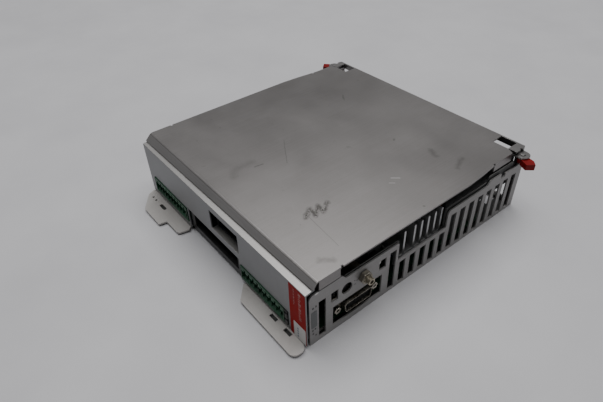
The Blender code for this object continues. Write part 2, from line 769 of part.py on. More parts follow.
def dsub_section(centre, half_wide, half_narrow, half_high):
    y, z = centre
    corners = [
        (y - half_narrow, z - half_high, 1.6),
        (y + half_narrow, z - half_high, 1.6),
        (y + half_wide, z + half_high, 1.6),
        (y - half_wide, z + half_high, 1.6),
    ]
    return rounded(corners, 3)


def make_dsub():
    """The 15-way socket: plated shell with its flange, black insert, rear body and two jackscrews."""
    y, z = DSUB_CENTRE
    face = WALL_RIGHT - 6.0
    outer = dsub_section(DSUB_CENTRE, 12.4, 11.1, 4.2)
    inner = dsub_section(DSUB_CENTRE, 12.05, 10.75, 3.85)
    flange = prism("X", face - 0.9, face, rounded_rectangle(y - 19.6, z - 6.2, y + 19.6, z + 6.2, 1.5, 3))
    collar = prism("X", face - 0.6, WALL_RIGHT + 1.2, outer)
    hollow = prism("X", face - 2.0, WALL_RIGHT + 3.0, inner)
    screw_places = [(y + side * DSUB_SCREW_SPACING / 2, z) for side in (-1, 1)]
    screw_holes = merged([rod("X", place, 1.7, face - 3.0, face + 2.0, 16) for place in screw_places])
    solid("dsub_shell", "nickel", flange, add=[collar], cut=[hollow, screw_holes])
    insert = prism("X", face - 0.9, WALL_RIGHT - 0.4, dsub_section(DSUB_CENTRE, 11.75, 10.45, 3.55))
    body_low = MAIN_BOARD_TOP + GAP
    body = block((face - 9.0, y - 19.3, body_low), (face - 1.3, y + 19.3, z + 6.2))
    neck = prism("X", face - 3.0, face - 0.5, dsub_section(DSUB_CENTRE, 11.4, 10.1, 3.2))
    contacts = []
    for row, count in ((1.42, 8), (-1.42, 7)):
        for i in range(count):
            place = (y + (i - (count - 1) / 2) * 2.77, z + row)
            contacts.append(rod("X", place, 0.55, WALL_RIGHT - 4.0, WALL_RIGHT + 2.0, 8))
    clear = merged([rod("X", place, 2.0, face - 12.0, face + 2.0, 12) for place in screw_places])
    solid("dsub_insert", "black_plastic", insert, add=[neck, body], cut=[merged(contacts), clear])
    for side, place in zip(("front", "rear"), screw_places):
        shape = prism("X", face + GAP, face + GAP + 5.2, hexagon(*place, 5.0))
        bore = rod("X", place, 1.2, face + 2.5, face + 8.0, 12)
        stud = rod("X", place, 1.3, face - 6.0, face + 1.0, 12)
        solid(f"dsub_jackscrew_{side}", "nickel", shape, add=[stud], cut=[bore])


def make_port():
    """The threaded optical or coaxial port on the right wall, with its hexagon nut."""
    outside = WALL_RIGHT + GAP
    barrel, ring, body_radius = 2.6, 2.75, 4.2
    profile = [
        (WALL_RIGHT - 13.0, body_radius),
        (WALL_RIGHT - 3.4, body_radius),
        (WALL_RIGHT - 3.4, barrel),
        (outside + 4.2, barrel),
        (outside + 4.2, ring),
        (outside + 6.9, ring),
        (outside + 7.5, ring - 0.3),
    ]
    bore = rod("X", PORT_CENTRE, 1.6, WALL_RIGHT + 3.0, WALL_RIGHT + 20.0, 20)
    y, z = PORT_CENTRE
    foot_low = CONTROL_BOARD_TOP + GAP
    foot = block((WALL_RIGHT - 13.0, y - 4.0, foot_low), (WALL_RIGHT - 3.0, y + 4.0, z))
    body = turned("X", PORT_CENTRE, profile, 24)
    solid("port_body", "nickel", body, add=[foot], cut=[bore], smooth=True)
    nut = prism("X", outside, outside + 3.6, hexagon(*PORT_CENTRE, 8.6), [circle(*PORT_CENTRE, barrel + GAP)])
    solid("port_nut", "nickel", nut)


# ---------------------------------------------------------------- switches


def make_dial():
    """The rotary address switch behind the round hole, with its slotted dial."""
    y, z = DIAL_CENTRE
    front = WALL_RIGHT - 3.5
    low = CONTROL_BOARD_TOP + GAP
    body = block((front - 7.0, y - 4.6, low), (front, y + 4.6, z + 5.0))
    well = rod("X", DIAL_CENTRE, 3.4, front - 2.0, front + 1.0)
    solid("dial_housing", "black_plastic", body, cut=[well])
    dial = rod("X", DIAL_CENTRE, 3.1, front - 2.0 + GAP, front + 0.8)
    arrow = block((front - 0.4, y - 2.2, z - 0.5), (front + 2.0, y + 2.2, z + 0.5))
    solid("address_dial", "black_plastic", dial, cut=[arrow], at=(front, y, z))


def make_slide_switches():
    """A two-way switch block behind the front square hole, with a small slider in each way."""
    y, z = SWITCH_CENTRE
    front = WALL_RIGHT - 3.5
    low = CONTROL_BOARD_TOP + GAP
    body = block((front - 5.0, y - 3.6, low), (front, y + 3.6, z + 6.0))
    ways = (y - 1.6, y + 1.6)
    wells = [block((front - 1.6, way - 1.0, z - 2.6), (front + 1.0, way + 1.0, z + 2.6)) for way in ways]
    solid("switch_housing", "black_plastic", body, cut=[merged(wells)])
    for index, way in enumerate(ways, 1):
        key = block((front - 1.6 + GAP, way - 0.7, z - 2.3), (front + 0.7, way + 0.7, z - 0.3))
        solid(f"switch_slider_{index}", "black_plastic", key, at=(front, way, z - 1.3))


def make_reset_button():
    """A short-travel push button behind the rear square hole."""
    y, z = BUTTON_CENTRE
    front = WALL_RIGHT - 4.5
    low = CONTROL_BOARD_TOP + GAP
    body = block((front - 6.0, y - 3.2, low), (front, y + 3.2, z + 4.0))
    well = rod("X", BUTTON_CENTRE, 1.9, front - 3.2, front + 1.0, 20)
    solid("button_housing", "black_plastic", body, cut=[well])
    cap = turned("X", BUTTON_CENTRE, [(front - 1.6, 1.6), (front + 2.0, 1.6), (front + 2.4, 1.2)], 20)
    solid("reset_button", "white_plastic", cap, at=(front, y, z))


# ---------------------------------------------------------------- latches


def make_latches():
    """A red latch lever under each rear ear, on a pin through the ear's lower tab."""
    for side, mirror in (("right", False), ("left", True)):
        pivot_x = LENGTH - LEVER_PIVOT[0] if mirror else LEVER_PIVOT[0]
        pivot_y = LEVER_PIVOT[1]
        outward = -1 if mirror else 1
        low, high = LEVER_TOP - LEVER_THICK, LEVER_TOP
        boss = tube("Z", (pivot_x, pivot_y), 3.4, 1.5 + GAP, low, high, 24)
        arm = [(2.2, 2.2), (2.0, -5.0), (8.7, -8.1), (13.2, -3.0), (9.6, 0.6)]
        plan = [(pivot_x + outward * u, pivot_y + v) for u, v in arm]
        place = (pivot_x, pivot_y, LEVER_TOP)
        solid(f"latch_lever_{side}", "lever_red", boss, add=[prism("Z", low, high, plan)], at=place)
        foot, head = low - GAP, 54.7 + GAP
        profile = [(foot - 1.3, 2.6), (foot, 2.6), (foot, 1.5), (head, 1.5), (head, 2.3), (head + 0.4, 2.0)]
        solid(f"latch_pin_{side}", "nickel", turned("Z", (pivot_x, pivot_y), profile, 20))


clear_scene()
DRIVE_FRAME = bpy.data.objects.new("drive_frame", None)
bpy.context.collection.objects.link(DRIVE_FRAME)
DRIVE_FRAME.location = (-LENGTH / 2000, -DEPTH / 2000, 0)

make_chassis()
make_top_cover()
make_front_panel()
make_rear_plate()
make_brackets()
make_bracket_pads()
make_bracket_screws()
make_edge_insulation()
make_screens()
make_boards()
make_standoffs()
make_heat_sink()
make_power_parts()
make_fan()
make_header("plug_header_left", 9.6, 11, 8.3, 22.3)
make_header("plug_header_right", 142.6, 10, 6.3, 19.6)
make_header_end_block()
make_bay_socket()
make_motor_socket()
make_dsub()
make_port()
make_dial()
make_slide_switches()
make_reset_button()
make_latches()
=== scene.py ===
"""Looks for the servo drive: camera, light, floor, procedural materials and the fine pieces.

Everything is placed in the drive's own millimetres (x along the front, y to the back, z up from the
table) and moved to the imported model's frame by ORIGIN, which is the middle of the base.
"""

import json
import math
import random

import bmesh
import bpy
from mathutils import Matrix, Vector
from mathutils.geometry import tessellate_polygon


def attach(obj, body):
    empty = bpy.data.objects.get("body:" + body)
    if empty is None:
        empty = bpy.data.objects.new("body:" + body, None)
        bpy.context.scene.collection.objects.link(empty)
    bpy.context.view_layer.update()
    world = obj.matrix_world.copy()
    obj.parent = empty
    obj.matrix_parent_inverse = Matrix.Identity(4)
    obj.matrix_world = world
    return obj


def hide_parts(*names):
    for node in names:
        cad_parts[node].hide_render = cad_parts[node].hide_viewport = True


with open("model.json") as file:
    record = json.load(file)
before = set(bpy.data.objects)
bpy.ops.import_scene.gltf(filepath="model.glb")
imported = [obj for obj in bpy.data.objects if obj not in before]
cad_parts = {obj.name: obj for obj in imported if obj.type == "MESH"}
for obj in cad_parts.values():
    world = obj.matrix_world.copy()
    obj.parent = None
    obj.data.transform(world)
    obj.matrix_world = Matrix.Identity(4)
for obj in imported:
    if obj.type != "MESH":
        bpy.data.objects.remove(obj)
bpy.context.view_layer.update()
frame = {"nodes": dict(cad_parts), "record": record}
NODES = frame["nodes"]

# Driving dimensions, in millimetres, as in the CAD model.
LENGTH, DEPTH, HEIGHT = 216.5, 212.5, 58.0
ORIGIN = Vector((LENGTH / 2, DEPTH / 2, 0))
WALL_RIGHT = LENGTH - 1.5
FRONT_FACE = -8.5
CONTROL_BOARD_TOP, POWER_BOARD_TOP = 26.6, 6.0
FAN_CENTRE = (100.8, 29.0)
FUSE_CENTRE = (197.0, 13.0)
HEADER_PITCH = 5.08

# The camera, in metres in the model's frame: its place, and which way its right and its up point.
CAMERA_PLACE = Vector((0.26005, -0.23072, 0.27818))
CAMERA_RIGHT = Vector((0.6249, 0.7801, -0.0305))
CAMERA_UP = Vector((-0.4781, 0.4133, 0.7751))
CAMERA_LENS = 30.37

# The light: the surroundings' strength, and the ceiling light's power in watts and side in metres.
SURROUNDINGS = 0.17
CEILING_POWER = 48
CEILING_SIDE = 2.1

# The colour of the dust on moulded pieces.
DUST_COLOUR = (0.35, 0.33, 0.3)

# Edges sharper than these angles, in degrees, are shaded sharp or bevelled.
SHARP_ANGLE = 35
BEVEL_ANGLE = 40

# How far the CAD nodes' sharp edges are rounded, in millimetres.
ROUNDING = {
    "top_cover": 0.3,
    "chassis": 0.35,
    "front_panel": 0.25,
    "rear_plate": 0.22,
    "shield_bracket_left": 0.3,
    "shield_bracket_right": 0.3,
    "edge_insulation": 0.15,
    # Painted shade: the bracket pads are dark pieces under the brackets' slots, standing in for the shade
    # under the brackets.
    "bracket_pad_left": 0.2,
    "bracket_pad_right": 0.2,
    "heat_sink": 0.25,
    "header_end_block": 0.2,
    "bay_socket": 0.3,
    "motor_socket": 0.3,
    "dsub_shell": 0.2,
    "dsub_insert": 0.2,
    "dsub_jackscrew_front": 0.35,
    "dsub_jackscrew_rear": 0.35,
    "port_nut": 0.4,
    "latch_lever_left": 0.9,
    "latch_lever_right": 0.9,
    "latch_pin_left": 0.2,
    "latch_pin_right": 0.2,
    "power_module": 0.8,
    "charge_relay": 0.6,
    "brake_resistor": 0.5,
    "fan_frame": 0.4,
    "reset_button": 0.2,
    "dial_housing": 0.3,
    "address_dial": 0.25,
    "switch_housing": 0.3,
    "button_housing": 0.3,
}


def metres(x, y, z):
    """Drive millimetres to the model's frame."""
    return (Vector((x, y, z)) - ORIGIN) / 1000


# ---------------------------------------------------------------- camera, floor and light


def make_camera():
    """The camera looks down on the drive from in front of its right wall."""
    data = bpy.data.cameras.new("camera")
    data.sensor_width = 36.0
    data.lens = CAMERA_LENS
    data.clip_start, data.clip_end = 0.01, 50.0
    camera = bpy.data.objects.new("camera", data)
    back = CAMERA_RIGHT.cross(CAMERA_UP).normalized()
    up = back.cross(CAMERA_RIGHT)
    turn = Matrix((CAMERA_RIGHT, up, back)).transposed().to_4x4()
    camera.matrix_world = Matrix.Translation(CAMERA_PLACE) @ turn
    bpy.context.scene.collection.objects.link(camera)
    bpy.context.scene.camera = camera


def area_light(name, place, target, side, power):
    """A square light, `side` metres wide and of `power` watts, at `place` and aimed at `target`."""
    data = bpy.data.lights.new(name, "AREA")
    data.shape = "RECTANGLE"
    data.size, data.size_y = side, side
    data.energy = power
    light = bpy.data.objects.new(name, data)
    light.location = place
    light.rotation_euler = (Vector(target) - Vector(place)).to_track_quat("-Z", "Y").to_euler()
    bpy.context.scene.collection.objects.link(light)


def make_stage():
    """Dim pale surroundings, one wide ceiling light, and a pale floor with a fine grain."""
    world = bpy.data.worlds.new("studio")
    world.use_nodes = True
    background = world.node_tree.nodes["Background"]
    background.inputs["Color"].default_value = (0.95, 0.97, 1.0, 1)
    background.inputs["Strength"].default_value = SURROUNDINGS
    bpy.context.scene.world = world
    area_light("ceiling", (-0.30, 0.25, 2.0), (-0.30, 0.25, 0.0), CEILING_SIDE, CEILING_POWER)

    floor = bmesh.new()
    bmesh.ops.create_grid(floor, x_segments=1, y_segments=1, size=4.0)
    data = bpy.data.meshes.new("floor")
    floor.to_mesh(data)
    floor.free()
    obj = bpy.data.objects.new("floor", data)
    bpy.context.scene.collection.objects.link(obj)
    material = Look("floor_paint", rough=0.55)
    tone = material.noise(9.0, detail=3, rough=0.6)
    material.base(material.ramp(tone, ((0.3, (0.515, 0.51, 0.525)), (0.7, (0.57, 0.565, 0.58)))))
    grain = material.noise(900.0, detail=2, rough=0.7)
    material.bump(grain, 0.15, 0.0006)
    data.materials.append(material.done())


# ---------------------------------------------------------------- materials


class Look:
    """A Principled material built up from procedural nodes in object coordinates."""

    def __init__(self, name, rough=0.5, metallic=0.0, coat=0.0):
        self.material = bpy.data.materials.new(name)
        self.material.use_nodes = True
        self.tree = self.material.node_tree
        self.shader = self.tree.nodes["Principled BSDF"]
        self.shader.inputs["Roughness"].default_value = rough
        self.shader.inputs["Metallic"].default_value = metallic
        self.shader.inputs["Coat Weight"].default_value = coat
        self.coordinates = self.node("ShaderNodeTexCoord").outputs["Object"]
        self.last_bump = None

    def node(self, kind, **settings):
        made = self.tree.nodes.new(kind)
        for key, value in settings.items():
            setattr(made, key, value)
        return made

    def link(self, output, target):
        self.tree.links.new(output, target)

    def mapped(self, stretch=(1, 1, 1), turn=(0, 0, 0), shift=(0, 0, 0)):
        """Object coordinates turned first and then stretched, so that streaks follow the turn."""
        turned = self.node("ShaderNodeMapping")
        self.link(self.coordinates, turned.inputs["Vector"])
        turned.inputs["Rotation"].default_value = turn
        turned.inputs["Location"].default_value = shift
        stretched = self.node("ShaderNodeMapping")
        self.link(turned.outputs["Vector"], stretched.inputs["Vector"])
        stretched.inputs["Scale"].default_value = stretch
        return stretched.outputs["Vector"]

    def noise(self, scale, detail=4.0, rough=0.5, vector=None, distortion=0.0):
        """Cloudy noise about 0.5, with `scale` waves to the metre unless `vector` is stretched."""
        made = self.node("ShaderNodeTexNoise")
        self.link(vector or self.coordinates, made.inputs["Vector"])
        made.inputs["Scale"].default_value = scale
        made.inputs["Detail"].default_value = detail
        made.inputs["Roughness"].default_value = rough
        made.inputs["Distortion"].default_value = distortion
        return made.outputs["Fac"]

    def ramp(self, value, stops):
        """`value` turned into a colour: `stops` are (place, colour or grey level)."""
        made = self.node("ShaderNodeValToRGB")
        elements = made.color_ramp.elements
        while len(elements) < len(stops):
            elements.new(0.5)
        for element, (place, colour) in zip(elements, stops):
            element.position = place
            if isinstance(colour, (int, float)):
                colour = (colour, colour, colour)
            element.color = (*colour, 1.0)
        self.link(value, made.inputs["Fac"])
        return made.outputs["Color"]

    def mix(self, factor, first, second):
        """`first` where the factor is 0 and `second` where it is 1; inputs 6 and 7 are the colour ones."""
        made = self.node("ShaderNodeMix", data_type="RGBA")
        for value, key in ((factor, 0), (first, 6), (second, 7)):
            target = made.inputs[key]
            if isinstance(value, bpy.types.NodeSocket):
                self.link(value, target)
            elif isinstance(value, tuple):
                target.default_value = (*value, 1.0)
            else:
                target.default_value = value
        return made.outputs[2]

    def math(self, operation, first, second=0.0, clamp=False):
        made = self.node("ShaderNodeMath", operation=operation, use_clamp=clamp)
        for value, target in ((first, made.inputs[0]), (second, made.inputs[1])):
            if isinstance(value, bpy.types.NodeSocket):
                self.link(value, target)
            else:
                target.default_value = value
        return made.outputs[0]

    def base(self, colour):
        self.link(colour, self.shader.inputs["Base Color"])

    def roughness(self, value):
        self.link(value, self.shader.inputs["Roughness"])

    def bump(self, height, strength, distance):
        """Adds relief on top of the relief that is there already."""
        made = self.node("ShaderNodeBump")
        made.inputs["Strength"].default_value = strength
        made.inputs["Distance"].default_value = distance
        self.link(height, made.inputs["Height"])
        if self.last_bump:
            self.link(self.last_bump, made.inputs["Normal"])
        self.last_bump = made.outputs["Normal"]
        self.link(self.last_bump, self.shader.inputs["Normal"])

    def scratches(self, turn, length, width, amount, shift=(0, 0, 0)):
        """Thin straight scratches: `turn` is their direction about z, `amount` how many show."""
        vector = self.mapped((1 / length, 1 / width, 1 / length), (0, 0, turn), shift)
        lines = self.noise(1.0, detail=2, rough=0.4, vector=vector)
        return self.ramp(lines, ((1 - amount, 0.0), (min(1.0, 1 - amount + 0.03), 1.0)))

    def vector_math(self, operation, first, second=None, scale=None):
        made = self.node("ShaderNodeVectorMath", operation=operation)
        self.link(first, made.inputs[0])
        if second is not None:
            made.inputs[1].default_value = second
        if scale is not None:
            self.link(scale, made.inputs["Scale"])
        return made

    def stroke(self, points, width, wobble=0.0):
        """A mark along a line of points, in drive millimetres: 1 on the line, 0 beyond its width.

        `wobble` is about how far, in millimetres, noise pushes the mark's edge in and out.
        """
        vector = self.coordinates
        if wobble:
            jitter = self.node("ShaderNodeTexNoise")
            self.link(self.coordinates, jitter.inputs["Vector"])
            jitter.inputs["Scale"].default_value = 260.0
            jitter.inputs["Detail"].default_value = 3.0
            moved = self.vector_math("SUBTRACT", jitter.outputs["Color"], (0.5, 0.5, 0.5))
            shift = self.vector_math("MULTIPLY", moved.outputs[0], (wobble / 1000,) * 3)
            added = self.vector_math("ADD", self.coordinates)
            self.link(shift.outputs[0], added.inputs[1])
            vector = added.outputs[0]
        nearest = None
        for start, end in zip(points, points[1:]):
            a, b = metres(*start), metres(*end)
            run = b - a
            offset = self.vector_math("SUBTRACT", vector, tuple(a)).outputs[0]
            along = self.vector_math("DOT_PRODUCT", offset, tuple(run)).outputs["Value"]
            along = self.math("DIVIDE", along, run.length_squared, clamp=True)
            run_node = self.node("ShaderNodeCombineXYZ")
            for axis in range(3):
                run_node.inputs[axis].default_value = run[axis]
            reached = self.vector_math("SCALE", run_node.outputs[0], scale=along).outputs[0]
            gap = self.vector_math("SUBTRACT", offset)
            self.link(reached, gap.inputs[1])
            distance = self.vector_math("LENGTH", gap.outputs[0]).outputs["Value"]
            nearest = distance if nearest is None else self.math("MINIMUM", nearest, distance)
        return self.math("SUBTRACT", 1.0, self.math("DIVIDE", nearest, width / 1000), clamp=True)

    def done(self):
        return self.material


def darker(colour, share):
    """`colour` times a share below 1."""
    return tuple(part * share for part in colour)


def brighter(colour, share):
    """`colour` times a share above 1, and no part of it above 1."""
    return tuple(min(1.0, part * share) for part in colour)


def brushed_sheet(
    name, dark, light, rough, along="x", stains=0.35, bump=0.25, contrast=0.6, metallic=1.0, extra=None
):
    """Worn brushed sheet: fine grain along `along`, cloudy stains, dull patches and crossing scratches.

    `extra` adds marks of its own: it takes the look, its colour and its roughness, and returns both.
    """
    look = Look(name, rough=rough, metallic=metallic)
    stretch = {"x": (14, 1500, 1500), "y": (1500, 14, 1500)}[along]
    grain = look.noise(1.0, detail=3, rough=0.6, vector=look.mapped(stretch))
    clouds = look.noise(13.0, detail=7, rough=0.6, distortion=0.3)
    patches = look.noise(60.0, detail=6, rough=0.72, distortion=0.6)
    patched = look.math("MULTIPLY", patches, 0.3)
    tone = look.math("ADD", look.math("MULTIPLY", clouds, contrast), patched)
    tone = look.math("ADD", tone, look.math("MULTIPLY", grain, 0.7 - contrast))
    colour = look.ramp(tone, ((0.34, dark), (0.66, light)))
    if stains:
        spots = look.noise(150.0, detail=4, rough=0.6)
        spots = look.ramp(spots, ((0.68, 0.0), (0.78, 1.0)))
        colour = look.mix(look.math("MULTIPLY", spots, stains), colour, darker(dark, 0.5))
    fine = look.scratches(0.5, 0.03, 0.00022, 0.27)
    cross = look.scratches(-0.9, 0.02, 0.00018, 0.26, (0.3, 0.1, 0))
    marks = look.math("MAXIMUM", fine, cross)
    colour = look.mix(look.math("MULTIPLY", marks, 0.18), colour, brighter(light, 1.5))
    dull = look.ramp(clouds, ((0.35, rough - 0.03), (0.65, rough + 0.04)))
    gloss = look.mix(look.math("MULTIPLY", marks, 0.4), dull, (rough - 0.12,) * 3)
    if extra:
        colour, gloss = extra(look, colour, gloss)
    look.base(colour)
    look.roughness(gloss)
    look.bump(grain, bump, 0.00003)
    look.bump(patches, 0.12, 0.00015)
    return look.done()


# Dark marks on the cover, in drive millimetres: the points of the zigzag scuff, and for each other mark
# its points, width, wobble and how much of the dark colour it takes.
SCUFF = ((168.6, 30.4), (162.8, 38.6), (171.3, 36.6), (163.9, 45.0), (171.7, 43.3), (165.4, 51.9))
DARK_MARKS = (
    (((169.5, 32.6), (186.0, 31.0), (202.0, 29.4)), 0.32, 0.3, 0.55),
    (((83.0, 77.4), (95.2, 69.2), (110.3, 59.6)), 0.5, 1.2, 0.5),
    (((98.6, 38.2), (99.4, 45.1)), 0.9, 2.0, 0.6),
    (((140.2, 144.3), (141.4, 143.0)), 1.2, 1.5, 0.6),
    (((99.4, 18.1), (91.9, 24.7), (91.7, 40.3)), 4.5, 5.0, 0.22),
    (((57.8, 164.4), (65.5, 158.7)), 1.1, 2.5, 0.5),
    (((192.1, 162.9), (197.8, 149.7)), 3.0, 4.5, 0.4),
    (((169.3, 153.4), (177.6, 150.5)), 3.2, 5.0, 0.4),
    (((203.9, 12.2), (208.8, 18.6)), 3.2, 5.0, 0.4),
    (((210.7, 98.0), (211.1, 98.4)), 1.0, 1.0, 0.7),
)


def cover_marks_and_lip_highlight(look, colour, gloss):
    """The cover's own marks (rubbed zigzag scuff, long thin scratches, smears, two bright nicks) and a
    painted lip highlight.
    """

    def on_top(points, width, wobble=0.0):
        return look.stroke([(x, y, HEIGHT) for x, y in points], width, wobble)

    broken = look.ramp(look.noise(700.0, detail=4, rough=0.7), ((0.36, 0.0), (0.52, 1.0)))
    scuff = look.math("MULTIPLY", on_top(SCUFF, 2.6, 2.6), broken)
    dark = (0.075, 0.071, 0.066)
    colour = look.mix(scuff, colour, dark)
    for points, width, wobble, share in DARK_MARKS:
        mark = look.math("MULTIPLY", on_top(points, width, wobble), share)
        colour = look.mix(mark, colour, dark)
    front_nick = on_top(((177.9, 99.2), (180.7, 102.4)), 0.3)
    rear_nick = on_top(((174.7, 104.6), (178.9, 109.4)), 0.45)
    nicks = look.math("MAXIMUM", rear_nick, front_nick)
    colour = look.mix(look.math("MULTIPLY", nicks, 0.7), colour, (0.80, 0.79, 0.77))
    gloss = look.mix(look.math("MULTIPLY", scuff, 0.8), gloss, (0.62, 0.62, 0.62))
    # Painted highlight: faces that look forward, the cover's lip, are painted lighter for the ceiling light
    # they catch.
    colour = look.mix(forward_faces(look, 0.62), colour, (0.42, 0.405, 0.395))
    return colour, gloss


def wall_lining_and_corner_highlight(look, colour, gloss):
    """The chassis: a black film lines its inner faces, and its wall's front corner carries a painted
    highlight.
    """
    place = look.node("ShaderNodeSeparateXYZ")
    look.link(look.coordinates, place.inputs[0])
    left, right, floor = 2.75, WALL_RIGHT - 1.15, 1.15
    low, high = metres(left, 0, floor), metres(right, 0, floor)
    inside = look.math("GREATER_THAN", place.outputs["X"], low.x)
    inside = look.math("MULTIPLY", inside, look.math("LESS_THAN", place.outputs["X"], high.x))
    inside = look.math("MULTIPLY", inside, look.math("GREATER_THAN", place.outputs["Z"], low.z))
    bare = look.math("SUBTRACT", 1.0, inside)
    look.link(look.math("MULTIPLY", bare, 0.6), look.shader.inputs["Metallic"])
    colour = look.mix(inside, colour, (0.006, 0.006, 0.006))
    gloss = look.mix(inside, gloss, (0.6, 0.6, 0.6))
    # Painted highlight: a near-white stroke along the wall's front top corner, for the light its rounded
    # edge catches.
    corner_highlight = look.stroke([(WALL_RIGHT, 0.2, 46.3), (WALL_RIGHT, 1.4, 46.4)], 1.1, wobble=1.0)
    return look.mix(corner_highlight, colour, (0.9, 0.9, 0.88)), gloss


def face_normal(look, axis):
    """How far the faces look along `axis`, which is X, Y or Z: from -1 to 1."""
    normal = look.node("ShaderNodeSeparateXYZ")
    look.link(look.node("ShaderNodeNewGeometry").outputs["True Normal"], normal.inputs[0])
    return normal.outputs[axis]


def upward_faces(look, least):
    """A mask of the faces that look up: 1 where the normal's z is more than `least`."""
    return look.math("GREATER_THAN", face_normal(look, "Z"), least)


def forward_faces(look, least):
    """A mask of the faces that look forward: 1 where the normal's -y is more than `least`."""
    return look.math("LESS_THAN", face_normal(look, "Y"), -least)


def strip_painted_highlight(look, colour, gloss):
    """Painted highlight: the front panel's upward-facing folded strip is painted brighter than its upright
    face, for the ceiling light it catches.
    """
    return look.mix(upward_faces(look, 0.5), colour, (0.40, 0.39, 0.38)), gloss


def edge_film(name):
    """Black film whose upward faces, its cut upper edge, are painted pale: a painted highlight for the
    light on its top edge.
    """
    look = Look(name, rough=0.5)
    clouds = look.noise(70.0, detail=4, rough=0.6)
    tone = look.ramp(clouds, ((0.35, (0.018, 0.019, 0.018)), (0.65, (0.028, 0.029, 0.028))))
    # Painted highlight: the film's upward faces take a pale grey.
    look.base(look.mix(upward_faces(look, 0.6), tone, (0.20, 0.20, 0.19)))
    look.bump(look.noise(1200.0, detail=2), 0.12, 0.00006)
    return look.done()


def plastic(name, colour, rough=0.45, grain=2500.0, vary=0.25, dust=0.12, shine=0.5):
    """Moulded plastic: a faint spark-eroded grain, uneven tone and a little dust."""
    look = Look(name, rough=rough)
    look.shader.inputs["Specular IOR Level"].default_value = shine
    clouds = look.noise(70.0, detail=4, rough=0.6)
    tone = look.ramp(clouds, ((0.35, darker(colour, 1 - vary)), (0.65, brighter(colour, 1 + vary))))
    specks = look.noise(420.0, detail=3, rough=0.7)
    specks = look.ramp(specks, ((0.56, 0.0), (0.74, 1.0)))
    look.base(look.mix(look.math("MULTIPLY", specks, dust), tone, DUST_COLOUR))
    look.roughness(look.ramp(clouds, ((0.3, rough - 0.06), (0.7, rough + 0.1))))
    look.bump(look.noise(grain, detail=2), 0.12, 0.00006)
    return look.done()


def plated(name, dark, light, rough=0.28):
    """Dulled plating: cloudy tarnish, fine pitting and uneven roughness."""
    look = Look(name, rough=rough, metallic=1.0)
    clouds = look.noise(160.0, detail=5, rough=0.65)
    look.base(look.ramp(clouds, ((0.35, dark), (0.65, light))))
    look.roughness(look.ramp(look.noise(600.0, detail=3), ((0.3, rough - 0.08), (0.7, rough + 0.14))))
    look.bump(look.noise(1800.0, detail=2), 0.1, 0.00004)
    return look.done()


def board(name, mask):
    """Circuit board: solder mask over copper tracks, laid out by stretched cells."""
    rough = 0.35
    look = Look(name, rough=rough, coat=0.2)
    cells = look.node("ShaderNodeTexVoronoi", feature="DISTANCE_TO_EDGE", distance="MINKOWSKI")
    look.link(look.mapped((260, 420, 260)), cells.inputs["Vector"])
    cells.inputs["Scale"].default_value = 1.0
    tracks = look.ramp(cells.outputs["Distance"], ((0.06, 1.0), (0.1, 0.0)))
    clouds = look.noise(40.0, detail=4)
    plain = look.ramp(clouds, ((0.3, darker(mask, 0.8)), (0.7, brighter(mask, 1.2))))
    look.base(look.mix(look.math("MULTIPLY", tracks, 0.4), plain, brighter(mask, 2.1)))
    look.roughness(look.ramp(clouds, ((0.3, rough - 0.05), (0.7, rough + 0.15))))
    look.bump(tracks, 0.25, 0.00008)
    return look.done()


